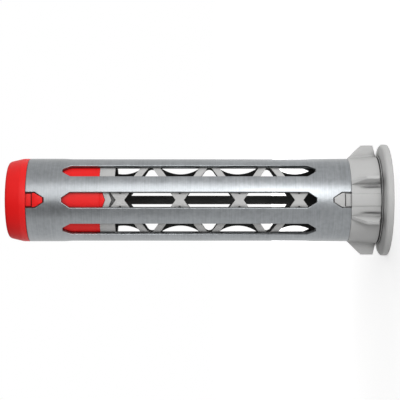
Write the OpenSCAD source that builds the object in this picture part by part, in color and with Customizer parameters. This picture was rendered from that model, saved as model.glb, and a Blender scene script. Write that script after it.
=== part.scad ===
// Metal sleeve anchor for hollow walls.
// It stands on its flange: the flange's outer face is at z = 0 and the tip points up.
// The front, where the latches show, faces -Y.

/* [Metal sleeve] */
// Outside diameter of the sleeve, which fits the drilled hole
sleeve_d = 18; // [17:0.1:20]
// Thickness of the sheet metal
sleeve_wall = 0.65; // [0.5:0.05:0.8]
// Length of the sleeve from the collar to the tip cap
sleeve_len = 69; // [66:0.5:90]
// Width of a window and of a latch notch
window_w = 3.3; // [2.6:0.1:3.6]
// Distance from the collar's end of the sleeve to the windows
window_start = 7.45; // [6.5:0.05:8.5]
// Distance from the windows to the tip's end of the sleeve
window_end = 7.65; // [6.5:0.05:8.5]
// Length of a window's tapered end
window_taper = 1.7; // [1:0.1:2.5]
// Width of the blunt point of a window
window_point = 1; // [0.4:0.1:2]
// Depth of the latch notches in both ends
notch_depth = 3.8; // [3:0.1:4.5]

/* [Collar] */
// Height of the collar from the flange's outer face to the sleeve
collar_h = 8.55; // [8:0.05:11]
// Diameter of the flange
flange_d = 24.2; // [23:0.1:28]
// Thickness of the flange at its rim
flange_rim = 1.5; // [1.2:0.05:1.7]
// Thickness of the flange where it meets the neck
flange_root = 2; // [1.8:0.05:2.2]
// Diameter over the fins
fin_d = 23.8; // [22:0.1:26]
// Thickness of a fin
fin_t = 0.8; // [0.5:0.1:1.5]
// Angle of the four slanting fins from the front or the back
fin_angle = 24; // [18:1:40]
// Diameter of the mouth, for the resin nozzle and the threaded rod
mouth_d = 13; // [12:0.1:13.6]
// Width of the bare panel between the slanting fins
panel_w = 2.6; // [2:0.1:3]
// Length of the collar's spigot inside the sleeve
spigot_len = 4.45; // [4.3:0.05:5]

/* [Cage] */
// Thickness of the cage and of the tip cap's spigot
cage_wall = 1.1; // [0.7:0.05:1.5]
// Distance from the collar's end of the sleeve to the first crossing
cross_start = 11.05; // [10.8:0.05:11.3]
// Distance from the last crossing to the tip's end of the sleeve
cross_end = 20; // [19.8:0.05:20.2]
// Width of a crossing at its waist
cross_waist = 1.75; // [1.2:0.05:2.4]
// Width of the spine along the cage's back
spine_w = 1.9; // [1:0.1:3]
// Height of the cage's closed ring next to the collar
ring_h = 1.5; // [1:0.1:2]
// Height of the cage's closed ring next to the cap
tip_ring_h = 3.2; // [3:0.05:3.3]
// Height of the chevron in front of the cap's tongue
chevron_h = 1.35; // [1.2:0.05:1.5]

/* [Tip cap] */
// Height of the cap above the sleeve
cap_h = 4.5; // [4:0.1:7]
// Height of the cap's straight rim
cap_rim_h = 1.3; // [0.8:0.1:2]
// Diameter of the cap's cone at its rounded end
cap_end_d = 16.5; // [16:0.1:17.6]
// Thickness of the cap's end wall
cap_end_wall = 1.5; // [1:0.1:2]
// Length of the cap's spigot inside the sleeve
cap_spigot_len = 15.6; // [15:0.1:16]
// Length of the pointed tongue on the spigot's end
tongue_len = 1.2; // [0.8:0.1:1.4]

/* [Fits] */
// Gap between the sleeve's bore and what slides into it
slide_gap = 0.1; // [0.05:0.01:0.15]
// Gap round a latch in its notch
latch_gap = 0.08; // [0.05:0.01:0.15]

/* [Hidden] */
$fn = 96;

steel = [0.72, 0.74, 0.76];
grey_plastic = [0.76, 0.76, 0.75];
red_plastic = [0.85, 0.08, 0.08];

sleeve_r = sleeve_d / 2;
sleeve_bore_r = sleeve_r - sleeve_wall;
slide_r = sleeve_bore_r - slide_gap;
cage_bore_r = slide_r - cage_wall;
mouth_r = mouth_d / 2;
sleeve_top = collar_h + sleeve_len;
reach = flange_d;

window_count = 8;
window_low = collar_h + window_start;
window_high = sleeve_top - window_end;

spigot_top = collar_h + spigot_len;
cap_spigot_low = sleeve_top - cap_spigot_len;
cap_top = sleeve_top + cap_h;
cap_round = 0.6;

neck_step = 0.2;
body_step = 0.45;
flange_shoulder = 0.4;
rim_round = 0.5;
mouth_chamfer = 0.4;
groove_h = 0.4;
collar_neck_r = sleeve_r + neck_step;
collar_wide_r = sleeve_r + body_step;
collar_low = flange_root + groove_h;
panel_t = 0.12;

fin_bury = 0.4;
fin_slope_h = 3;
fin_heel_h = 0.7;
fin_r = fin_d / 2;
fin_root_r = sleeve_r - fin_bury;
fin_angles = [-fin_angle, fin_angle, 90, 180 - fin_angle, 180 + fin_angle, 270];

latch_angles = [0, 180];
latch_sink = 0.3;
latch_w_share = 0.84;
latch_len_share = 0.38;
latch_neck_w = latch_w_share * window_w;
latch_neck_len = latch_len_share * notch_depth;
latch_neck_r = sleeve_r - latch_sink;
latch_root_r = slide_r - cage_wall / 2;

cross_count = 4;
cross_low = collar_h + cross_start;
cross_pitch = (sleeve_len - cross_start - cross_end) / (cross_count - 1);
strut_slope = 0.73;
strut_apex = 1.1;
apex_blunt = 0.15;
hole_half = (cross_pitch - cross_waist) / 2;
front_share = 0.885;
back_share = 0.805;
arch_share = 1.12;
chevron_w = 4.4;

parting_step = 0.3;
back_apex = strut_apex + parting_step;
web_share = 0.69;
web_edge = web_share * slide_r;
bowl_margin = 0.35;
bowl_top = cage_bore_r - bowl_margin;
bowl_rise = bowl_top - web_edge;
bowl_half = strut_slope * (bowl_top - back_apex);
bowl_r = (bowl_rise * bowl_rise + bowl_half * bowl_half) / (2 * bowl_rise);

// A pipe from z = low to z = high
module pipe(outer, inner, low, high) {
    translate([0, 0, low])
        rotate_extrude()
            translate([inner, 0])
                square([outer - inner, high - low]);
}

// Extrudes an outline, drawn across and up, from the axis outwards at an angle from the front
module outward(angle, from = 0, to = reach) {
    rotate([0, 0, angle])
        translate([0, -from, 0])
            rotate([90, 0, 0])
                linear_extrude(to - from)
                    children();
}

// Outline of a slot with blunt points at both ends
module slot_outline(low, high) {
    half = window_w / 2;
    point = window_point / 2;
    polygon([
        [-half, low + window_taper], [-point, low], [point, low], [half, low + window_taper],
        [half, high - window_taper], [point, high], [-point, high], [-half, high - window_taper]
    ]);
}

// Outline of a latch that points up from z = 0: a narrow neck and a head that fills the notch
module latch_outline() {
    half = window_w / 2 - latch_gap;
    point = window_point / 2 - latch_gap;
    top = notch_depth - latch_gap;
    polygon([
        [-half, latch_neck_len], [half, latch_neck_len], [half, top - window_taper],
        [point, top], [-point, top], [-half, top - window_taper]
    ]);
}

// The two latches of a spigot, whose root is at z = 0
module latches() {
    for (angle = latch_angles) {
        outward(angle, latch_root_r, latch_neck_r)
            translate([-latch_neck_w / 2, 0])
                square([latch_neck_w, latch_neck_len]);
        intersection() {
            outward(angle, latch_root_r)
                latch_outline();
            cylinder(r = sleeve_r, h = notch_depth);
        }
    }
}

// Outline of the point on the cap's spigot, hanging down from z = 0
module tongue_outline(gap = 0) {
    half = window_w / 2 + gap;
    polygon([[-half, 0], [half, 0], [half, -tongue_len / 2 - gap], [0, -tongue_len - gap],
        [-half, -tongue_len / 2 - gap]]);
}

// Rolled sheet-metal sleeve with long windows and a latch notch at the front and back of each end
module metal_sleeve() {
    color(steel)
        difference() {
            pipe(sleeve_r, sleeve_bore_r, collar_h, sleeve_top);
            for (i = [0 : window_count - 1])
                outward(i * 360 / window_count)
                    slot_outline(window_low, window_high);
            for (angle = latch_angles) {
                outward(angle)
                    slot_outline(collar_h - notch_depth, collar_h + notch_depth);
                outward(angle)
                    slot_outline(sleeve_top - notch_depth, sleeve_top + notch_depth);
            }
        }
}

// Half section of the collar: dished flange with a round rim, groove, tapered body and spigot
module collar_section() {
    rim_r = flange_d / 2;
    rim_in = rim_r - rim_round;
    polygon([
        [mouth_r + mouth_chamfer, 0], [rim_in, 0], [rim_r, rim_round], [rim_r, flange_rim - rim_round],
        [rim_in, flange_rim], [collar_wide_r + flange_shoulder, flange_root], [collar_neck_r, flange_root],
        [collar_neck_r, collar_low], [collar_wide_r, collar_low], [sleeve_r, collar_h],
        [slide_r, collar_h], [slide_r, spigot_top], [mouth_r, spigot_top], [mouth_r, mouth_chamfer]
    ]);
    for (level = [rim_round, flange_rim - rim_round])
        translate([rim_in, level])
            circle(rim_round);
}

// Bare raised panels on the collar's body, at the front and the back
module panels() {
    body_h = collar_h - collar_low;
    intersection() {
        translate([0, 0, collar_low])
            cylinder(r1 = collar_wide_r + panel_t, r2 = sleeve_r + panel_t, h = body_h);
        for (angle = latch_angles)
            outward(angle, latch_root_r)
                translate([-panel_w / 2, collar_low])
                    square([panel_w, body_h]);
    }
}

// Outline of a fin: radius across, height up
module fin_outline() {
    polygon([
        [fin_root_r, collar_low], [collar_wide_r, collar_low], [fin_r, collar_low + fin_heel_h],
        [fin_r, collar_h - fin_slope_h], [sleeve_r, collar_h], [fin_root_r, collar_h]
    ]);
}

// Plastic collar with its flange, six fins that stop it turning and two latches
module collar() {
    color(grey_plastic) {
        rotate_extrude()
            collar_section();
        for (angle = fin_angles)
            rotate([0, 0, angle - 90])
                rotate([90, 0, 0])
                    translate([0, 0, -fin_t / 2])
                        linear_extrude(fin_t)
                            fin_outline();
        panels();
        translate([0, 0, collar_h])
            latches();
    }
}

// Hole between two crossings: a diamond whose straight sides end at a share of its width, in an arch
module cross_hole_outline(share) {
    edge = share * hole_half / strut_slope;
    blunt = hole_half - strut_slope * edge;
    arch_r = arch_share * blunt;
    polygon([
        [0, -hole_half], [edge, -blunt], [edge, blunt], [0, hole_half], [-edge, blunt], [-edge, -blunt]
    ]);
    for (side = [-1, 1])
        translate([side * (edge - sqrt(arch_r * arch_r - blunt * blunt)), 0])
            circle(arch_r);
}

// Hole beside a crossing, on both sides: it begins at the width start and widens away from its apex
module side_hole_outline(start, apex) {
    near = strut_slope * (start - apex);
    far = strut_slope * (sleeve_r - apex);
    for (side = [-1, 1])
        polygon([
            [side * start, -near], [side * sleeve_r, -far], [side * sleeve_r, far], [side * start, near]
        ]);
}

// Repeats a flat shape at the crossings, moved up by a share of the pitch
module at_crossings(first, last, share = 0) {
    for (i = [first : last])
        translate([0, cross_low + (i + share) * cross_pitch])
            children();
}

// Holes of the cage's front half: open diamonds between crossings
module front_holes() {
    at_crossings(-1, cross_count - 1, 0.5)
        cross_hole_outline(front_share);
    at_crossings(0, cross_count - 1)
        side_hole_outline(strut_apex + apex_blunt, strut_apex);
}

// Holes of the cage's back half: diamonds split by the spine, and side holes with a bowl-shaped end
module back_holes() {
    difference() {
        at_crossings(0, cross_count - 2, 0.5)
            cross_hole_outline(back_share);
        translate([-spine_w / 2, 0])
            square([spine_w, sleeve_top]);
    }
    at_crossings(0, cross_count - 1)
        intersection() {
            side_hole_outline(web_edge - bowl_margin, back_apex);
            for (side = [-1, 1])
                translate([side * (web_edge + bowl_r), 0])
                    circle(bowl_r);
        }
}

// Outline of the stretch of the cage that has holes, which ends in a chevron at the tip
module lattice_stretch() {
    low = spigot_top + ring_h;
    high = cap_spigot_low - tip_ring_h;
    half = chevron_w / 2;
    tip = cap_spigot_low - tongue_len - chevron_h;
    rise = tip + half * tongue_len / window_w;
    polygon([
        [-reach, low], [reach, low], [reach, high], [half, high], [half, rise],
        [0, tip], [-half, rise], [-half, high], [-reach, high]
    ]);
}

// Plastic cage of crossing struts, held in the sleeve between the collar and the cap
module inner_cage() {
    color(grey_plastic)
        difference() {
            pipe(slide_r, cage_bore_r, spigot_top, cap_spigot_low);
            outward(0)
                intersection() {
                    front_holes();
                    lattice_stretch();
                }
            outward(180)
                intersection() {
                    back_holes();
                    lattice_stretch();
                }
            for (angle = latch_angles)
                outward(angle)
                    translate([0, cap_spigot_low])
                        tongue_outline(latch_gap);
        }
}

// Half section of the tip cap: straight rim, cone with a rounded end, and spigot
module cap_section() {
    end_r = cap_end_d / 2;
    round_low = cap_top - cap_round;
    hollow_top = cap_top - cap_end_wall;
    polygon([
        [0, hollow_top], [cage_bore_r, hollow_top], [cage_bore_r, cap_spigot_low], [slide_r, cap_spigot_low],
        [slide_r, sleeve_top], [sleeve_r, sleeve_top], [sleeve_r, sleeve_top + cap_rim_h],
        [end_r, round_low], [end_r - cap_round, cap_top], [0, cap_top]
    ]);
    translate([end_r - cap_round, round_low])
        circle(cap_round);
}

// Red cap that closes the tip, with a long spigot, two latches and two pointed tongues
module tip_cap() {
    color(red_plastic) {
        rotate_extrude()
            cap_section();
        translate([0, 0, sleeve_top])
            mirror([0, 0, 1])
                latches();
        intersection() {
            pipe(slide_r, cage_bore_r, cap_spigot_low - tongue_len, cap_spigot_low);
            for (angle = latch_angles)
                outward(angle)
                    translate([0, cap_spigot_low])
                        tongue_outline();
        }
    }
}

metal_sleeve();
collar();
inner_cage();
tip_cap();
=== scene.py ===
"""Dresses a metal sleeve anchor for hollow walls: finishes, soft edges, stage and camera."""

import math

import bmesh
import bpy
from bpy.props import FloatProperty, FloatVectorProperty, IntProperty, PointerProperty
from mathutils import Matrix, Vector


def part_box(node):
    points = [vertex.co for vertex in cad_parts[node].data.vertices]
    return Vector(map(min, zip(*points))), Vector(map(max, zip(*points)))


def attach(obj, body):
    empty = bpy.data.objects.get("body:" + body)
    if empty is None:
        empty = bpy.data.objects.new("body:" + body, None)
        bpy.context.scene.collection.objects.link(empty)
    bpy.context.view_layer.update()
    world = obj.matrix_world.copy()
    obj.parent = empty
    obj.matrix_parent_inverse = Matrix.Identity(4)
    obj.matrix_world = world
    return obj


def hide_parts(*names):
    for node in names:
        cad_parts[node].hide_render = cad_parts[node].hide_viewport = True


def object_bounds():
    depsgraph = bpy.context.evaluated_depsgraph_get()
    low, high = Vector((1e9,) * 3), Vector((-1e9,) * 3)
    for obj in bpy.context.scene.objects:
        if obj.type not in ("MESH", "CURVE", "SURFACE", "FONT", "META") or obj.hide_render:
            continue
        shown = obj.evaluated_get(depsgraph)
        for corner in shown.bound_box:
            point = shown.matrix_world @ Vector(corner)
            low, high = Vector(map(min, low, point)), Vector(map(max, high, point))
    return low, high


bl_info = {
    "name": "Hollow wall anchor",
    "version": (1, 0, 0),
    "blender": (4, 5, 0),
    "location": "View3D > Sidebar > Anchor",
    "description": "Dresses a windowed metal anchor sleeve with its collar, cage and tip cap",
    "category": "Add Mesh",
}

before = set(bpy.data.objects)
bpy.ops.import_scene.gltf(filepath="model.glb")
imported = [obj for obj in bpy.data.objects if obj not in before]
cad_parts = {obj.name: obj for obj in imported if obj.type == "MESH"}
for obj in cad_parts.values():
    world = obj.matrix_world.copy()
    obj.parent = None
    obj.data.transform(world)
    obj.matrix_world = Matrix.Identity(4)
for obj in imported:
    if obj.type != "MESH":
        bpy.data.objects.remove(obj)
CAD_LOW, CAD_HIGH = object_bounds()
SLEEVE_LOW, SLEEVE_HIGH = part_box("metal_sleeve")
COLLAR_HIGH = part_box("collar")[1]
CAGE_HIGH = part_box("inner_cage")[1]
SLEEVE_RADIUS = SLEEVE_HIGH.x
SPIGOT_RADIUS = CAGE_HIGH.x
BODY = "root"

MM = 0.001
WELD = 0.002 * MM
SHARP_ANGLE = math.radians(40)
FLAT_ANGLE = math.radians(0.5)

# The sleeve's halves, the latches and other small forms repeat at the front and the back
TURN = "turn_copies"
FRONT_AND_BACK = 2

# How finely round shapes are cut
LATHE_STEPS = 128
BODY_LATHE_STEPS = 256
BODY_ROWS = 20
CORNER_STEPS = 4
PLATE_STRIPS = 7
SHEET_STRIPS = 4
SLOPE_STEPS = 8
ROOT_STEPS = 5

# The share of a side that a rounded corner may take up
CORNER_SHARE = 0.45

# Sleeve: the cosine of the angle to straight outwards within which a face counts as round
ROUND_FACE = 0.985

# Latches, tongues and panels
NECK_BURIED = 0.5 * MM
HEAD_GAP = 0.2 * MM
HEAD_EDGE = 0.1 * MM
NECK_EDGE = 0.06 * MM
TONGUE_EDGE = 0.06 * MM
PANEL_DEPTH = 0.5 * MM
PANEL_EDGE = 0.05 * MM

# Fins
FIN_EASE = 0.1 * MM
LEAST_RISE = 0.03 * MM
ROOT_SHARE = 0.6
CREST_ROUND = 0.14 * MM
CREST_SHARE = 0.2
CREST_BEND = 0.3
SCOOPED_ROOT = 0.1

# Collar body
MOUTH_CHAMFER = 0.4 * MM
RIM_LOW_ROUND = 0.3 * MM
RIM_SIDE = 1.15 * MM
RIM_SIDE_ROUND = 0.12 * MM
RIM_BEVEL = 0.35 * MM
RIM_TOP_ROUND = 0.2 * MM
LIP_SINK = 0.12 * MM
LIP_OUTER_STEP = 0.25 * MM
LIP_INNER_STEP = 0.2 * MM
LIP_HEIGHT = 0.15 * MM
SCOOP_WIDTH = math.radians(2.2)
SCOOP_LEAD = 1.2 * MM
SCOOP_STOP = 0.95
SCOOP_LEAST_WALL = 0.2 * MM
SCOOP_CLEAR = 0.01 * MM

# Cage: shares of the wall over which the painted shade on its inside fades out, and the sunk floor
# by each chevron
PAINTED_SHADE_FULL = 0.8
PAINTED_SHADE_NONE = 0.15
CHEVRON_HALF = 1.9 * MM
CHEVRON_HEIGHT = 5 * MM
CHEVRON_SINK = 0.55
CHEVRON_DEPTH = 0.3 * MM
CHEVRON_EDGE = 0.05 * MM

# Finishes: scales of the noises, per metre, and the painted shade in each crease
STEEL_CLOUDS = 170
STEEL_GRAINS = 1100
STEEL_MARKS = (110, 110, 5200)
MOULD_FLOW = 170
MOULD_GRAIN = 5200
BUMP_DEPTH = 0.02 * MM
CREASE_REACH = 2.5 * MM
PAINTED_CREASE_SHADE = 0.14
GREY_ROUGHNESS = 0.42
RED_ROUGHNESS = 0.4

# Stage: radii and heights in metres, and levels of light
FLOOR_RADIUS = 3
FLOOR_WHITE = 0.95
NEAR_RADIUS, NEAR_GLOW = 0.02, 0.52
FAR_RADIUS, FAR_GLOW = 0.2, 0.69
LOW_LAMP_HEIGHT = 0.013
CARD_DIM, CEILING_DIM = 0.65, 0.9
LEFT_LIFT, RIGHT_LIFT = 0.35, 0.45


# Settings


def size_setting(name, description, millimetres):
    return FloatProperty(
        name=name, description=description, default=millimetres * MM, unit="LENGTH"
    )


def angle_setting(name, description, degrees):
    return FloatProperty(
        name=name, description=description, default=math.radians(degrees), subtype="ANGLE"
    )


def colour_setting(name, description, colour):
    return FloatVectorProperty(
        name=name, description=description, default=colour, subtype="COLOR"
    )


def power_setting(name, description, watts):
    return FloatProperty(name=name, description=description, default=watts, unit="POWER")


class SleeveSizes(bpy.types.PropertyGroup):
    """Sizes of the rolled metal sleeve."""

    wall: size_setting("Wall", "Thickness of the sheet", 0.65)
    windows: IntProperty(
        name="Windows", description="Windows round the sleeve, an even number", default=8
    )
    window_width: size_setting("Window width", "Width of a window and of a notch", 3.3)
    window_length: size_setting("Window length", "Length from point to point", 53.9)
    window_start: size_setting("Window start", "From the collar to the windows", 7.45)
    taper: size_setting("Taper", "Length of a pointed end", 1.7)
    point: size_setting("Point", "Width of the blunt point", 1.0)
    notch: size_setting("Notch", "Depth of a latch notch", 3.8)
    edge: size_setting("Edge", "Rounding of the sheet's edges", 0.14)


class CollarSizes(bpy.types.PropertyGroup):
    """Sizes of the finned collar and the cage."""

    mouth: size_setting("Mouth", "Radius of the mouth", 6.5)
    flange: size_setting("Flange", "Thickness of the flange", 2.0)
    rim: size_setting("Rim", "Thickness of the flange's rim", 1.5)
    groove: size_setting("Groove", "Height of the groove", 0.4)
    neck: size_setting("Neck", "Radius in the groove", 8.9)
    lip: size_setting("Lip", "Radius of the lip in the groove", 9.55)
    body: size_setting("Body", "Radius of the body's wide end", 9.45)
    fin_radius: size_setting("Fin radius", "Reach of a fin", 11.9)
    fin: size_setting("Fin", "Thickness of a fin", 0.8)
    fin_heel: size_setting("Heel", "Height of a fin's heel", 0.6)
    fin_slope: size_setting("Slope", "Height of a fin's slope", 3.0)
    fin_root: size_setting("Root", "Fillet at a fin's root", 0.55)
    fin_angle: angle_setting("Fin angle", "Slanting fins from the front", 24)
    scoop: size_setting("Scoop", "Depth of a scoop by a fin", 0.45)
    scoop_angle: angle_setting("Scoop angle", "Scoops from the front", 19)
    panel: size_setting("Panel", "Width of a bare panel", 2.6)
    raised: size_setting("Raised", "Height of a bare panel", 0.12)
    wall: size_setting("Wall", "Wall of the cage and spigots", 1.1)
    edge: size_setting("Edge", "Rounding of moulded edges", 0.12)


class CapSizes(bpy.types.PropertyGroup):
    """Sizes of the tip cap and of the latches."""

    rim: size_setting("Rim", "Height of the straight rim", 1.3)
    cone: size_setting("Cone", "Radius of the cone's end", 8.25)
    rounding: size_setting("Rounding", "Rounding of the end", 0.75)
    wall: size_setting("Wall", "Thickness of the end wall", 1.5)
    spigot: size_setting("Spigot", "Length of the spigot", 15.6)
    tongue: size_setting("Tongue", "Length of the tongue", 1.2)
    latch_neck: size_setting("Neck", "Width of a latch's neck", 2.65)
    latch_step: size_setting("Step", "Length of a latch's neck", 1.44)
    latch_sink: size_setting("Sink", "Depth of a latch's neck", 0.4)
    latch_gap: size_setting("Gap", "Gap round a latch", 0.14)


class FinishColours(bpy.types.PropertyGroup):
    """Colours of the finishes and of the painted shade on the cage's unlit inside."""

    steel: colour_setting("Steel", "Zinc-plated steel", (0.235, 0.247, 0.257))
    grey: colour_setting("Grey", "Grey plastic", (0.53, 0.53, 0.525))
    red: colour_setting("Red", "Red plastic", (0.86, 0.009, 0.009))
    # Painted shade: the colour that the cage's inside wall is darkened to
    inside: colour_setting("Inside", "Unlit inside of the cage", (0.03, 0.031, 0.03))


class StageSettings(bpy.types.PropertyGroup):
    """Camera and light."""

    distance: size_setting("Distance", "From the camera to the axis", 268)
    field: size_setting("Field", "Width of the picture", 87.3)
    height: size_setting("Height", "Height of the camera", 40.6)
    key_power: power_setting("Key", "Power of the key lamp", 0.25)
    low_power: power_setting("Low", "Power of the lamp by the collar", 0.031)
    back_power: power_setting("Back", "Power of the lamp behind", 0.7)
    surround: FloatProperty(name="Surround", description="Brightness of the room", default=1.06)


# Shader building


class Wire:
    """A number socket; arithmetic on it adds Math nodes."""

    def __init__(self, finish, socket):
        self.finish = finish
        self.socket = socket

    def _join(self, operation, first, second):
        made = self.finish.node("ShaderNodeMath", {"operation": operation}, {0: first, 1: second})
        return self.finish.wire(made.outputs[0])

    def __add__(self, other):
        return self._join("ADD", self, other)

    __radd__ = __add__

    def __sub__(self, other):
        return self._join("SUBTRACT", self, other)

    def __rsub__(self, other):
        return self._join("SUBTRACT", other, self)

    def __mul__(self, other):
        return self._join("MULTIPLY", self, other)

    __rmul__ = __mul__

    def __truediv__(self, other):
        return self._join("DIVIDE", self, other)

    def __rtruediv__(self, other):
        return self._join("DIVIDE", other, self)


class Finish:
    """The node tree of a material, a world or a repeat, with a method that adds any node."""

    def __init__(self, tree):
        self.tree = tree
        self.tree.nodes.clear()

    def node(self, kind, settings=None, sockets=None):
        made = self.tree.nodes.new(kind)
        for name, value in (settings or {}).items():
            setattr(made, name, value)
        for key, value in (sockets or {}).items():
            self.plug(made.inputs[key], value)
        return made

    def plug(self, socket, value):
        if isinstance(value, Wire):
            value = value.socket
        if isinstance(value, bpy.types.NodeSocket):
            self.tree.links.new(value, socket)
        else:
            socket.default_value = value

    def wire(self, socket):
        return Wire(self, socket)

    def place(self):
        return self.node("ShaderNodeTexCoord").outputs["Object"]

    def noise(self, scale, detail, stretch=(1, 1, 1)):
        place = self.node("ShaderNodeMapping", None, {"Vector": self.place(), "Scale": stretch})
        made = self.node(
            "ShaderNodeTexNoise", None,
            {"Vector": place.outputs[0], "Scale": scale, "Detail": detail},
        )
        return self.wire(made.outputs[0])

    def tint(self, factor, dark, light):
        made = self.node(
            "ShaderNodeMix", {"data_type": "RGBA"}, {"Factor": factor, 6: dark, 7: light}
        )
        return made.outputs[2]

    def ramp(self, value, low, high):
        made = self.node(
            "ShaderNodeMapRange", {"interpolation_type": "SMOOTHSTEP"},
            {"Value": value, "From Min": low, "From Max": high},
        )
        return self.wire(made.outputs[0])

    def radius(self):
        flat = self.node(
            "ShaderNodeVectorMath", {"operation": "MULTIPLY"}, {0: self.place(), 1: (1, 1, 0)}
        )
        made = self.node("ShaderNodeVectorMath", {"operation": "LENGTH"}, {0: flat.outputs[0]})
        return self.wire(made.outputs["Value"])

    def bump(self, height, strength):
        made = self.node(
            "ShaderNodeBump", None,
            {"Height": height, "Strength": strength, "Distance": BUMP_DEPTH},
        )
        return made.outputs[0]

    def painted_crease_mask(self, alone):
        """Painted shade mask: 0 in a crease and 1 in the open, from ambient occlusion; alone
        leaves out the other pieces.
        """
        made = self.node(
            "ShaderNodeAmbientOcclusion", {"only_local": alone, "samples": 8},
            {"Distance": CREASE_REACH},
        )
        return self.ramp(made.outputs["AO"], low=0.15, high=0.95)

    def surface(self, sockets):
        shader = self.node("ShaderNodeBsdfPrincipled", None, sockets)
        self.node("ShaderNodeOutputMaterial", None, {"Surface": shader.outputs[0]})


def new_finish(name):
    material = bpy.data.materials.new(name)
    material.use_nodes = True
    return material, Finish(material.node_tree)


def shade(colour, share):
    return (*(share * channel for channel in colour), 1)


def even_grey(level):
    return (level, level, level, 1)


def zinc_steel():
    """Satin zinc plate: fine marks round the sleeve over a cloudy sheet."""
    colour = bpy.context.scene.anchor_colours.steel
    material, finish = new_finish("zinc_steel")
    clouds = finish.noise(STEEL_CLOUDS, detail=3)
    grains = finish.ramp(finish.noise(STEEL_GRAINS, detail=3), low=0.3, high=0.7)
    marks = finish.noise(1, detail=3, stretch=STEEL_MARKS)
    mix = clouds * 0.4 + grains * 0.13 + marks * 0.47
    finish.surface({
        "Base Color": finish.tint(mix, shade(colour, 0.55), shade(colour, 1.6)),
        "Metallic": 1.0,
        "Roughness": 0.23 + clouds * 0.09 + grains * 0.04 + marks * 0.08,
        "Normal": finish.bump(marks, strength=0.12),
    })
    return material


def moulded_plastic(name, colour, roughness, alone, hollow=None):
    """Moulded plastic with a faint flow pattern, a fine grain and painted shade in each crease.

    hollow gives the radii between which painted shade on the inside turns to the plastic's own
    colour.
    """
    material, finish = new_finish(name)
    flow = finish.noise(MOULD_FLOW, detail=2)
    grain = finish.noise(MOULD_GRAIN, detail=2)
    tint = finish.tint(flow * 0.7 + grain * 0.3, shade(colour, 0.93), shade(colour, 1.06))
    # Painted shade: the inside of the cage wall darkens towards the axis, between the radii in
    # hollow
    if hollow:
        outside = finish.ramp(finish.radius(), *hollow)
        tint = finish.tint(outside, shade(bpy.context.scene.anchor_colours.inside, 1), tint)
    finish.surface({
        # Painted shade: the colour darkens in each crease that ambient occlusion finds
        "Base Color": finish.tint(finish.painted_crease_mask(alone), shade(colour, PAINTED_CREASE_SHADE), tint),
        "Roughness": roughness + flow * 0.08 + grain * 0.06,
        "Specular IOR Level": 0.25,
        "Normal": finish.bump(grain, strength=0.1),
    })
    return material


# Mesh building


def new_object(name, data):
    made = bpy.data.objects.new(name, data)
    bpy.context.scene.collection.objects.link(made)
    return made


def as_object(name, work):
    """An object from a bmesh, which is freed."""
    mesh = bpy.data.meshes.new(name)
    work.to_mesh(mesh)
    work.free()
    return new_object(name, mesh)


def drawn(name, work):
    """A solid from a bmesh, with its doubles merged and its faces turned outwards."""
    bmesh.ops.remove_doubles(work, verts=work.verts, dist=WELD)
    bmesh.ops.recalc_face_normals(work, faces=work.faces)
    return as_object(name, work)


def joined(name, pieces):
    """One object from several, which are removed."""
    work = bmesh.new()
    for piece in pieces:
        work.from_mesh(piece.data)
        bpy.data.objects.remove(piece)
    return as_object(name, work)


def smooth(mesh):
    """Smooth faces, with creases where the faces meet at a sharp angle."""
    mesh.polygons.foreach_set("use_smooth", [True] * len(mesh.polygons))
    mesh.set_sharp_from_angle(angle=SHARP_ANGLE)


def settle(piece):
    """Turns the piece's modifiers into a plain mesh."""
    depsgraph = bpy.context.evaluated_depsgraph_get()
    mesh = bpy.data.meshes.new_from_object(piece.evaluated_get(depsgraph))
    piece.modifiers.clear()
    piece.data = mesh
    smooth(mesh)


def thicken(piece, depth):
    """Gives a sheet a wall that grows inwards."""
    made = piece.modifiers.new("wall", "SOLIDIFY")
    made.thickness = depth
    made.offset = -1


def bevel(piece, width):
    made = piece.modifiers.new("edges", "BEVEL")
    made.width = width
    made.segments = 2
    made.limit_method = "ANGLE"
    made.angle_limit = SHARP_ANGLE
    made.use_clamp_overlap = True


def turn_tree():
    """Geometry nodes that repeat a shape round the axis."""
    tree = bpy.data.node_groups.new(TURN, "GeometryNodeTree")
    for name, kind in (("Geometry", "Geometry"), ("Count", "Int"), ("Material", "Material")):
        tree.interface.new_socket(name, in_out="INPUT", socket_type="NodeSocket" + kind)
    tree.interface.new_socket("Geometry", in_out="OUTPUT", socket_type="NodeSocketGeometry")
    group = Finish(tree)
    source = group.node("NodeGroupInput").outputs
    count = source["Count"]
    points = group.node("GeometryNodePoints", None, {"Count": count}).outputs[0]
    index = group.wire(group.node("GeometryNodeInputIndex").outputs[0])
    angle = index * math.tau / group.wire(count)
    turn = group.node("ShaderNodeCombineXYZ", None, {"Z": angle}).outputs[0]
    copies = group.node(
        "GeometryNodeInstanceOnPoints", None,
        {"Points": points, "Instance": source["Geometry"], "Rotation": turn},
    ).outputs[0]
    solid = group.node("GeometryNodeRealizeInstances", None, {"Geometry": copies}).outputs[0]
    welded = group.node(
        "GeometryNodeMergeByDistance", None, {"Geometry": solid, "Distance": WELD}
    ).outputs[0]
    dressed = group.node(
        "GeometryNodeSetMaterial", None, {"Geometry": welded, "Material": source["Material"]}
    ).outputs[0]
    group.node("NodeGroupOutput", None, {"Geometry": dressed})
    return tree


def turn_copies(piece, count, material):
    """Repeats the piece's mesh round the axis."""
    tree = bpy.data.node_groups.get(TURN) or turn_tree()
    made = piece.modifiers.new("copies", "NODES")
    made.node_group = tree
    values = {"Count": count, "Material": material}
    for item in tree.interface.items_tree:
        if item.in_out == "INPUT" and item.name in values:
            made[item.identifier] = values[item.name]
    settle(piece)


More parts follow.
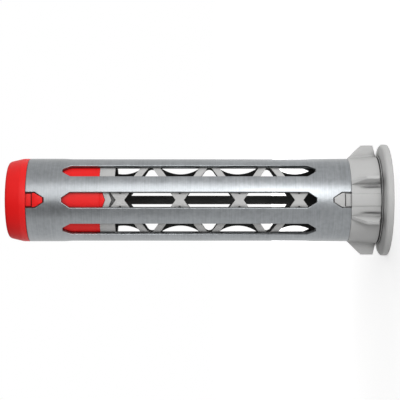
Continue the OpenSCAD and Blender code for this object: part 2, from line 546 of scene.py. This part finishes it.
def rounded(corners):
    """A closed outline of (across, up, set-back) corners, each rounded by its set-back."""
    outline = []
    for index, (across, up, size) in enumerate(corners):
        here = Vector((across, up))
        before = Vector(corners[index - 1][:2]) - here
        after = Vector(corners[(index + 1) % len(corners)][:2]) - here
        reach = min(size, CORNER_SHARE * before.length, CORNER_SHARE * after.length)
        for step in range(CORNER_STEPS + 1 if reach else 1):
            share = step / CORNER_STEPS
            bend = (1 - share) ** 2 * before.normalized() + share**2 * after.normalized()
            outline.append(here + reach * bend)
    return outline


def lathe(name, corners, steps=LATHE_STEPS):
    """A solid turned from a rounded half section."""
    work = bmesh.new()
    verts = [work.verts.new((radius, 0, height)) for radius, height in rounded(corners)]
    edges = [work.edges.new((verts[index - 1], vert)) for index, vert in enumerate(verts)]
    bmesh.ops.spin(
        work, geom=verts + edges, cent=(0, 0, 0), axis=(0, 0, 1), angle=math.tau, steps=steps,
        use_merge=True,
    )
    bmesh.ops.dissolve_degenerate(work, edges=work.edges, dist=WELD)
    return drawn(name, work)


def rectangle(half, low, top):
    return [(-half, low), (half, low), (half, top), (-half, top)]


def mirrored(side):
    """A closed outline from its right side."""
    return side + [(-across, up) for across, up in reversed(side)]


def plate(name, outline, radius_at, depth, edge):
    """A plate with an outline drawn across and up, bent onto a round surface at the front."""
    work = bmesh.new()
    work.faces.new([work.verts.new((across, 0, up)) for across, up in outline])
    widest = max(across for across, up in outline)
    for step in range(1, PLATE_STRIPS):
        cut = (2 * step / PLATE_STRIPS - 1) * widest
        bmesh.ops.bisect_plane(
            work, geom=[*work.verts, *work.edges, *work.faces],
            plane_co=(cut, 0, 0), plane_no=(1, 0, 0),
        )
    for vert in work.verts:
        vert.co.y = -math.sqrt(radius_at(vert.co.z) ** 2 - vert.co.x**2)
    bmesh.ops.recalc_face_normals(work, faces=work.faces)
    face = next(iter(work.faces))
    if face.normal.y > 0:
        bmesh.ops.reverse_faces(work, faces=work.faces)
    piece = as_object(name, work)
    thicken(piece, depth)
    bevel(piece, edge)
    settle(piece)
    return piece


def latch(name, root, way):
    """A latch from the height root, pointing up or down: a sunk neck and a pointed head."""
    sleeve, sizes = bpy.context.scene.anchor_sleeve, bpy.context.scene.anchor_cap
    half = sleeve.window_width / 2 - sizes.latch_gap
    point = sleeve.point / 2
    top = sleeve.notch - sizes.latch_gap
    neck = sizes.latch_neck / 2
    side = [(half, sizes.latch_step), (half, top - sleeve.taper), (point, top)]
    head = mirrored([(across, root + way * up) for across, up in side])
    stem = mirrored([
        (neck, root - way * NECK_BURIED), (neck, root + way * (sizes.latch_step - HEAD_GAP)),
    ])
    depth = SLEEVE_RADIUS - SPIGOT_RADIUS
    sunk = SLEEVE_RADIUS - sizes.latch_sink
    return [
        plate(name + "_head", head, lambda height: SLEEVE_RADIUS, depth, HEAD_EDGE),
        plate(name + "_neck", stem, lambda height: sunk, depth, NECK_EDGE),
    ]


def body_radius(sizes, share):
    """Radius of the collar's tapered body at a share of its height."""
    return sizes.body + (SLEEVE_RADIUS - sizes.body) * share


def fin_section(sizes, body, crest, roots):
    """A fin's section, across and outwards, from the body's radius to the crest's."""
    rise = max(crest - body, LEAST_RISE)
    foot = min(sizes.fin_root, ROOT_SHARE * rise)
    soft = min(CREST_ROUND, CREST_SHARE * rise)
    half = sizes.fin / 2
    turns = [math.pi / 2 * step / ROOT_STEPS for step in range(ROOT_STEPS + 1)]
    sides = []
    for root in roots:
        wide = root * foot
        side = [(half + wide, body - sizes.scoop)]
        for turn in turns:
            side.append((half + wide * (1 - math.sin(turn)), body + wide * (1 - math.cos(turn))))
        side.append((half, body + rise - soft))
        side.append((half - CREST_BEND * soft, body + rise - CREST_BEND * soft))
        side.append((half - soft, body + rise))
        sides.append(side)
    left, right = sides
    return right + [(-across, radius) for across, radius in reversed(left)]


def fin(sizes, angle, top, roots):
    """One fin with a soft crest, at an angle from the front; roots scales its two root fillets."""
    low = sizes.flange + sizes.groove
    heel, shoulder = low + sizes.fin_heel, top - sizes.fin_slope
    slope = [shoulder + (top - shoulder) * step / SLOPE_STEPS for step in range(SLOPE_STEPS + 1)]
    work = bmesh.new()
    rings = []
    for height in (low, heel, heel + FIN_EASE, shoulder - FIN_EASE, *slope):
        body = body_radius(sizes, (height - low) / (top - low))
        crest = sizes.fin_radius
        if height < heel:
            crest = body
        elif height > shoulder:
            crest += (body - sizes.fin_radius) * (height - shoulder) / (top - shoulder)
        rings.append([
            work.verts.new((across, -math.sqrt(radius**2 - across**2), height))
            for across, radius in fin_section(sizes, body, crest, roots)
        ])
    for below, above in zip(rings, rings[1:]):
        for index in range(len(below)):
            work.faces.new((below[index - 1], below[index], above[index], above[index - 1]))
    work.faces.new(rings[0])
    work.faces.new(rings[-1])
    turn = Matrix.Rotation(angle, 3, "Z")
    bmesh.ops.rotate(work, verts=work.verts, cent=(0, 0, 0), matrix=turn)
    return drawn("fin", work)


def on_sleeve(angle, height):
    return Vector((SLEEVE_RADIUS * math.sin(angle), -SLEEVE_RADIUS * math.cos(angle), height))


def add_sector(sheet, sizes, centre, notched):
    """Adds the stretch of sheet round one window, with a notch at both ends if asked."""
    half = math.pi / sizes.windows
    edge = math.asin(sizes.window_width / 2 / SLEEVE_RADIUS)
    point = math.asin(sizes.point / 2 / SLEEVE_RADIUS)
    strips = [edge + (half - edge) * step / SHEET_STRIPS for step in range(1, SHEET_STRIPS + 1)]
    right = [point, edge, *strips]
    columns = [-angle for angle in reversed(right)] + right
    low, high = SLEEVE_LOW.z, SLEEVE_HIGH.z
    start = low + sizes.window_start
    stop = start + sizes.window_length
    rows = [
        low, low + sizes.notch - sizes.taper, low + sizes.notch,
        start, start + sizes.taper, stop - sizes.taper, stop,
        high - sizes.notch, high - sizes.notch + sizes.taper, high,
    ]
    # What the middle of the sheet does between each row and the next
    foot = ["empty", "closing"] if notched else ["whole", "whole"]
    head = ["opening", "empty"] if notched else ["whole", "whole"]
    bands = [*foot, "whole", "opening", "empty", "closing", "whole", *head]
    grid = [
        [sheet.verts.new(on_sleeve(centre + angle, height)) for angle in columns]
        for height in rows
    ]
    left_taper = len(strips)
    middle, right_taper = left_taper + 1, left_taper + 2
    for band, below, above in zip(bands, grid, grid[1:]):
        for col in range(len(columns) - 1):
            corner = col if col == left_taper else col + 1
            if band == "whole" or not left_taper <= col <= right_taper:
                face = [below[col], below[col + 1], above[col + 1], above[col]]
            elif band == "empty" or col == middle:
                continue
            elif band == "opening":
                face = [below[col], below[col + 1], above[corner]]
            else:
                face = [below[corner], above[col + 1], above[col]]
            sheet.faces.new(face)


def roll_normals(mesh):
    """Gives the sleeve true cylinder normals, so that highlights run straight past the windows."""
    normals = [corner.vector.copy() for corner in mesh.corner_normals]
    for face in mesh.polygons:
        for index in face.loop_indices:
            place = mesh.vertices[mesh.loops[index].vertex_index].co
            outward = Vector((place.x, place.y, 0)).normalized()
            lean = face.normal.dot(outward)
            if abs(lean) > ROUND_FACE:
                normals[index] = outward if lean > 0 else -outward
    mesh.normals_split_custom_set(normals)


def soft_copy(node, name, edge):
    """A copy of a node's solid with its sharp edges rounded."""
    work = bmesh.new()
    work.from_mesh(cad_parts[node].data)
    bmesh.ops.remove_doubles(work, verts=work.verts, dist=WELD)
    bmesh.ops.dissolve_limit(
        work, angle_limit=FLAT_ANGLE, verts=work.verts, edges=work.edges
    )
    piece = drawn(name, work)
    bevel(piece, edge)
    settle(piece)
    return piece


def finish_piece(piece, node, material):
    """Dresses a piece, which stands for a node and rides with the body."""
    mesh = piece.data
    mesh.materials.clear()
    mesh.materials.append(material)
    mesh.polygons.foreach_set("material_index", [0] * len(mesh.polygons))
    smooth(mesh)
    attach(piece, BODY)
    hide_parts(node)


# Operators


class ANCHOR_OT_sleeve(bpy.types.Operator):
    """Roll the windowed metal sleeve"""

    bl_idname = "anchor.sleeve"
    bl_label = "Metal sleeve"

    def execute(self, context):
        sizes = context.scene.anchor_sleeve
        steel = zinc_steel()
        sheet = bmesh.new()
        pitch = math.tau / sizes.windows
        for sector in range(sizes.windows // FRONT_AND_BACK):
            add_sector(sheet, sizes, sector * pitch, sector == 0)
        bmesh.ops.remove_doubles(sheet, verts=sheet.verts, dist=WELD)
        piece = as_object("rolled_sleeve", sheet)
        turn_copies(piece, FRONT_AND_BACK, steel)
        thicken(piece, sizes.wall)
        bevel(piece, sizes.edge)
        settle(piece)
        finish_piece(piece, "metal_sleeve", steel)
        roll_normals(piece.data)
        return {"FINISHED"}


class ANCHOR_OT_collar(bpy.types.Operator):
    """Make the finned grey collar"""

    bl_idname = "anchor.collar"
    bl_label = "Collar"

    def execute(self, context):
        sizes = context.scene.anchor_collar
        colour = context.scene.anchor_colours.grey
        grey = moulded_plastic("grey_plastic", colour, GREY_ROUGHNESS, alone=True)
        low, top = sizes.flange + sizes.groove, SLEEVE_LOW.z
        body = self.body(sizes, low, top)
        self.scoop_out(body.data, sizes, low, top)
        unit = [
            fin(sizes, -sizes.fin_angle, top, (1, SCOOPED_ROOT)),
            fin(sizes, sizes.fin_angle, top, (SCOOPED_ROOT, 1)),
            fin(sizes, math.pi / 2, top, (1, 1)),
            self.panel(sizes, low, top),
            *latch("collar_latch", top, 1),
        ]
        repeated = joined("collar_unit", unit)
        turn_copies(repeated, FRONT_AND_BACK, grey)
        piece = joined("finned_collar", [body, repeated])
        finish_piece(piece, "collar", grey)
        return {"FINISHED"}

    def body(self, sizes, low, top):
        """The flange, groove, tapered body and spigot."""
        edge, rim, high = sizes.edge, COLLAR_HIGH.x, COLLAR_HIGH.z
        mouth, neck, lip, flange = sizes.mouth, sizes.neck, sizes.lip, sizes.flange
        shares = [step / BODY_ROWS for step in range(1, BODY_ROWS)]
        side = [(body_radius(sizes, share), low + (top - low) * share, 0) for share in shares]
        return lathe("collar_body", [
            (mouth + MOUTH_CHAMFER, 0, edge),
            (rim, 0, RIM_LOW_ROUND),
            (rim, RIM_SIDE, RIM_SIDE_ROUND),
            (rim - RIM_BEVEL, sizes.rim, RIM_TOP_ROUND),
            (lip + LIP_OUTER_STEP, flange - LIP_SINK, edge),
            (lip - LIP_INNER_STEP, flange - LIP_SINK, edge),
            (lip, flange, edge),
            (lip, flange + LIP_HEIGHT, edge),
            (neck, flange + LIP_HEIGHT, edge),
            (neck, low, edge),
            (sizes.body, low, edge),
            *side,
            (SLEEVE_RADIUS, top, edge),
            (SPIGOT_RADIUS, top, 0),
            (SPIGOT_RADIUS, high, edge),
            (mouth, high, edge),
            (mouth, MOUTH_CHAMFER, edge),
        ], BODY_LATHE_STEPS)

    def scoop_out(self, mesh, sizes, low, top):
        """Sinks a scoop into the body beside each slanting fin."""
        for vert in mesh.vertices:
            across, depth, height = vert.co
            radius = math.hypot(across, depth)
            outside = radius > SPIGOT_RADIUS + SCOOP_LEAST_WALL
            if outside and low + SCOOP_CLEAR < height < top:
                away = math.atan2(abs(across), abs(depth)) - sizes.scoop_angle
                share = min(1, (height - low + SCOOP_LEAD) / (SCOOP_STOP * (top - low)))
                along = max(math.sin(math.pi * share), 0)
                dip = sizes.scoop * math.exp(-((away / SCOOP_WIDTH) ** 2)) * along
                vert.co.xy *= 1 - dip / radius

    def panel(self, sizes, low, top):
        """The bare raised panel at the front."""
        def radius_at(height):
            return body_radius(sizes, (height - low) / (top - low)) + sizes.raised

        outline = rectangle(sizes.panel / 2, low, top)
        return plate("panel", outline, radius_at, PANEL_DEPTH, PANEL_EDGE)


class ANCHOR_OT_cage(bpy.types.Operator):
    """Make the grey cage of crossing struts"""

    bl_idname = "anchor.cage"
    bl_label = "Cage"

    def execute(self, context):
        sizes = context.scene.anchor_collar
        colour = context.scene.anchor_colours.grey
        # Painted shade: the cage's inside wall is darkened between these radii
        hollow = (SPIGOT_RADIUS - PAINTED_SHADE_FULL * sizes.wall, SPIGOT_RADIUS - PAINTED_SHADE_NONE * sizes.wall)
        grey = moulded_plastic("caged_plastic", colour, GREY_ROUGHNESS, False, hollow)
        struts = soft_copy("inner_cage", "struts", sizes.edge)
        top = SLEEVE_HIGH.z - context.scene.anchor_cap.spigot
        outline = rectangle(CHEVRON_HALF, top - CHEVRON_HEIGHT, top)
        sunk = SPIGOT_RADIUS - CHEVRON_SINK * sizes.wall
        floor = plate(
            "chevron_floor", outline, lambda height: sunk, CHEVRON_DEPTH, CHEVRON_EDGE
        )
        turn_copies(floor, FRONT_AND_BACK, grey)
        piece = joined("strut_cage", [struts, floor])
        finish_piece(piece, "inner_cage", grey)
        return {"FINISHED"}


class ANCHOR_OT_cap(bpy.types.Operator):
    """Make the red tip cap"""

    bl_idname = "anchor.cap"
    bl_label = "Tip cap"

    def execute(self, context):
        sizes, collar = context.scene.anchor_cap, context.scene.anchor_collar
        colour = context.scene.anchor_colours.red
        red = moulded_plastic("red_plastic", colour, RED_ROUGHNESS, alone=False)
        base, top = SLEEVE_HIGH.z, CAD_HIGH[2]
        low = base - sizes.spigot
        edge, inner = collar.edge, SPIGOT_RADIUS - collar.wall
        body = lathe("cap_body", [
            (0, top, 0),
            (sizes.cone, top, sizes.rounding),
            (SLEEVE_RADIUS, base + sizes.rim, 2 * edge),
            (SLEEVE_RADIUS, base, edge),
            (SPIGOT_RADIUS, base, 0),
            (SPIGOT_RADIUS, low, edge),
            (inner, low, edge),
            (inner, top - sizes.wall, edge),
            (0, top - sizes.wall, 0),
        ])
        half, shoulder = context.scene.anchor_sleeve.window_width / 2, low - sizes.tongue / 2
        tongue = [
            (-half, low + edge), (half, low + edge), (half, shoulder),
            (0, low - sizes.tongue), (-half, shoulder),
        ]
        unit = [
            plate("tongue", tongue, lambda height: SPIGOT_RADIUS, collar.wall, TONGUE_EDGE),
            *latch("cap_latch", base, -1),
        ]
        repeated = joined("cap_unit", unit)
        turn_copies(repeated, FRONT_AND_BACK, red)
        piece = joined("moulded_tip_cap", [body, repeated])
        finish_piece(piece, "tip_cap", red)
        return {"FINISHED"}


class ANCHOR_OT_stage(bpy.types.Operator):
    """Lay the pale floor, light the room and set the camera"""

    bl_idname = "anchor.stage"
    bl_label = "Stage"

    def execute(self, context):
        settings = context.scene.anchor_stage
        centre = Vector((0, 0, settings.height))
        self.floor()
        self.room(context, settings)
        self.lamp(
            "key_lamp", centre, settings.key_power,
            way=(0.36, -0.93, 0.08), distance=0.3, size=(0.25, 0.08),
        )
        self.lamp(
            "low_lamp", Vector((0, 0, LOW_LAMP_HEIGHT)), settings.low_power,
            way=(0.33, -0.94, 0), distance=0.12, size=(0.07, 0.022),
        )
        fill = self.lamp(
            "back_lamp", centre, settings.back_power,
            way=(0.3, 0.95, 0.1), distance=0.4, size=(0.3, 0.2),
        )
        fill.visible_glossy = False
        self.camera(context, settings)
        context.scene.view_settings.view_transform = "Standard"
        return {"FINISHED"}

    def floor(self):
        """A white floor that glows a little less near the object, where its shadow falls."""
        work = bmesh.new()
        bmesh.ops.create_circle(work, cap_ends=True, segments=64, radius=FLOOR_RADIUS)
        piece = as_object("floor", work)
        material, finish = new_finish("pale_floor")
        seen = finish.node("ShaderNodeLightPath").outputs
        plain = finish.wire(seen["Is Camera Ray"])
        plain = plain + seen["Is Glossy Ray"] + seen["Is Transmission Ray"]
        away = finish.ramp(finish.radius(), NEAR_RADIUS, FAR_RADIUS)
        glow = finish.tint(away, even_grey(NEAR_GLOW), even_grey(FAR_GLOW))
        finish.surface({
            "Base Color": even_grey(FLOOR_WHITE),
            "Roughness": 0.9,
            "Specular IOR Level": 0.0,
            "Emission Color": finish.tint(plain, even_grey(0), glow),
            "Emission Strength": 1.0,
        })
        piece.data.materials.append(material)

    def room(self, context, settings):
        """An even room with a dark card in front, a dim ceiling and a brighter left side."""
        world = bpy.data.worlds.new("room")
        world.use_nodes = True
        context.scene.world = world
        finish = Finish(world.node_tree)
        way = finish.node("ShaderNodeTexCoord").outputs["Generated"]
        parts = finish.node("ShaderNodeSeparateXYZ", None, {0: way}).outputs
        across, depth, up = (finish.wire(parts[axis]) for axis in "XYZ")
        card = finish.ramp(across * -0.31 - depth * 0.95, low=0.8, high=0.97)
        above = finish.ramp(up, low=0.05, high=0.5)
        right_side = finish.ramp(across, low=-0.3, high=0.6)
        left_side = finish.ramp(across, low=-0.35, high=-0.9)
        walls = 1 - CARD_DIM * card + LEFT_LIFT * left_side
        ceiling = 1 - above * (CEILING_DIM - RIGHT_LIFT * right_side)
        level = settings.surround * walls * ceiling
        grey = finish.node(
            "ShaderNodeCombineColor", None, {"Red": level, "Green": level, "Blue": level}
        ).outputs[0]
        lit = finish.node("ShaderNodeBackground", None, {"Color": grey}).outputs[0]
        white = finish.node("ShaderNodeBackground", None, {"Color": even_grey(1)}).outputs[0]
        seen = finish.node("ShaderNodeLightPath").outputs["Is Camera Ray"]
        mixed = finish.node("ShaderNodeMixShader", None, {0: seen, 1: lit, 2: white}).outputs[0]
        finish.node("ShaderNodeOutputWorld", None, {"Surface": mixed})

    def lamp(self, name, target, power, way, distance, size):
        """A soft lamp at a distance from its target, hidden from the camera."""
        data = bpy.data.lights.new(name, "AREA")
        data.shape = "RECTANGLE"
        data.size, data.size_y = size
        data.energy = power
        made = new_object(name, data)
        made.visible_camera = False
        direction = Vector(way).normalized()
        made.location = target + direction * distance
        made.rotation_euler = direction.to_track_quat("Z", "Y").to_euler()
        return made

    def camera(self, context, settings):
        """A camera in front, on its side, so that the tip points left in the picture."""
        data = bpy.data.cameras.new("camera")
        data.lens = data.sensor_width * settings.distance / settings.field
        data.clip_start = 0.01
        made = new_object("camera", data)
        right, up, back = Vector((0, 0, -1)), Vector((1, 0, 0)), Vector((0, -1, 0))
        turn = Matrix((right, up, back)).transposed().to_4x4()
        made.matrix_world = Matrix.Translation((0, -settings.distance, settings.height)) @ turn
        context.scene.camera = made


class ANCHOR_PT_panel(bpy.types.Panel):
    """Lists the anchor's pieces and their sizes"""

    bl_idname = "ANCHOR_PT_panel"
    bl_label = "Hollow wall anchor"
    bl_space_type = "VIEW_3D"
    bl_region_type = "UI"
    bl_category = "Anchor"

    def draw(self, context):
        for made in STEPS:
            self.layout.operator(made.bl_idname)
        for name, group in SETTINGS.items():
            for prop in group.__annotations__:
                self.layout.prop(getattr(context.scene, name), prop)


STEPS = (ANCHOR_OT_stage, ANCHOR_OT_sleeve, ANCHOR_OT_collar, ANCHOR_OT_cage, ANCHOR_OT_cap)
SETTINGS = {
    "anchor_sleeve": SleeveSizes,
    "anchor_collar": CollarSizes,
    "anchor_cap": CapSizes,
    "anchor_colours": FinishColours,
    "anchor_stage": StageSettings,
}


def register():
    for made in (*SETTINGS.values(), *STEPS, ANCHOR_PT_panel):
        bpy.utils.register_class(made)
    for name, group in SETTINGS.items():
        setattr(bpy.types.Scene, name, PointerProperty(type=group))


def unregister():
    for name in SETTINGS:
        delattr(bpy.types.Scene, name)
    for made in reversed((*SETTINGS.values(), *STEPS, ANCHOR_PT_panel)):
        bpy.utils.unregister_class(made)


def main():
    register()
    bpy.ops.anchor.stage()
    bpy.ops.anchor.sleeve()
    bpy.ops.anchor.collar()
    bpy.ops.anchor.cage()
    bpy.ops.anchor.cap()


if __name__ == "__main__":
    main()
